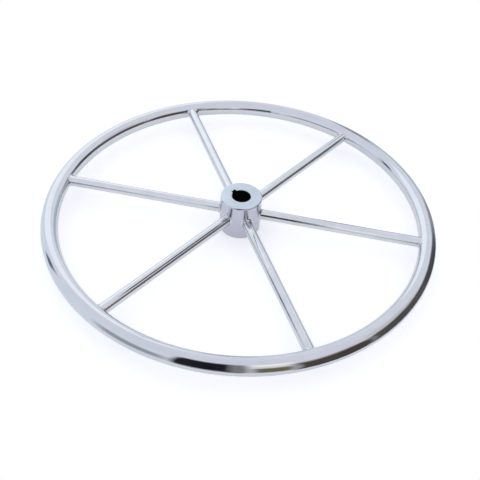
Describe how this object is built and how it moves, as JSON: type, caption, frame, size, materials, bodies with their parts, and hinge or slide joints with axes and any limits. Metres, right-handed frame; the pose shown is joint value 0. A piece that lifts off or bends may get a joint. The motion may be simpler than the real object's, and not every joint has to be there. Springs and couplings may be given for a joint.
{
  "type": "boat steering wheel",
  "caption": "Flat boat steering wheel: round tube rim on straight round spokes, welded to a cylindrical hub with a keyed shaft bore, all in polished stainless steel.",
  "frame": {"origin": "centre of the hub, on the bore's axis and in the plane of the rim and spokes", "axes": "+Z along the bore towards the helmsman, +X along the first spoke"},
  "size_m": [0.6, 0.6, 0.06],
  "materials": {
    "rim_steel": "mirror polished stainless steel tube",
    "spoke_steel": "polished stainless steel round bar",
    "hub_steel": "turned and polished stainless steel, fine turning marks on the faces",
    "weld_steel": "ground and polished weld metal, slightly uneven"
  },
  "bodies": {
    "root": {"hub": "hub_steel", "rim": "rim_steel", "rim_seam_weld": "rim_steel", "spoke_1": "spoke_steel", "spoke_2": "spoke_steel", "spoke_3": "spoke_steel", "spoke_4": "spoke_steel", "spoke_5": "spoke_steel", "spoke_6": "spoke_steel", "hub_weld_1": "weld_steel", "hub_weld_2": "weld_steel", "hub_weld_3": "weld_steel", "hub_weld_4": "weld_steel", "hub_weld_5": "weld_steel", "hub_weld_6": "weld_steel", "rim_weld_1": "weld_steel", "rim_weld_2": "weld_steel", "rim_weld_3": "weld_steel", "rim_weld_4": "weld_steel", "rim_weld_5": "weld_steel", "rim_weld_6": "weld_steel"}
  },
  "joints": []
}
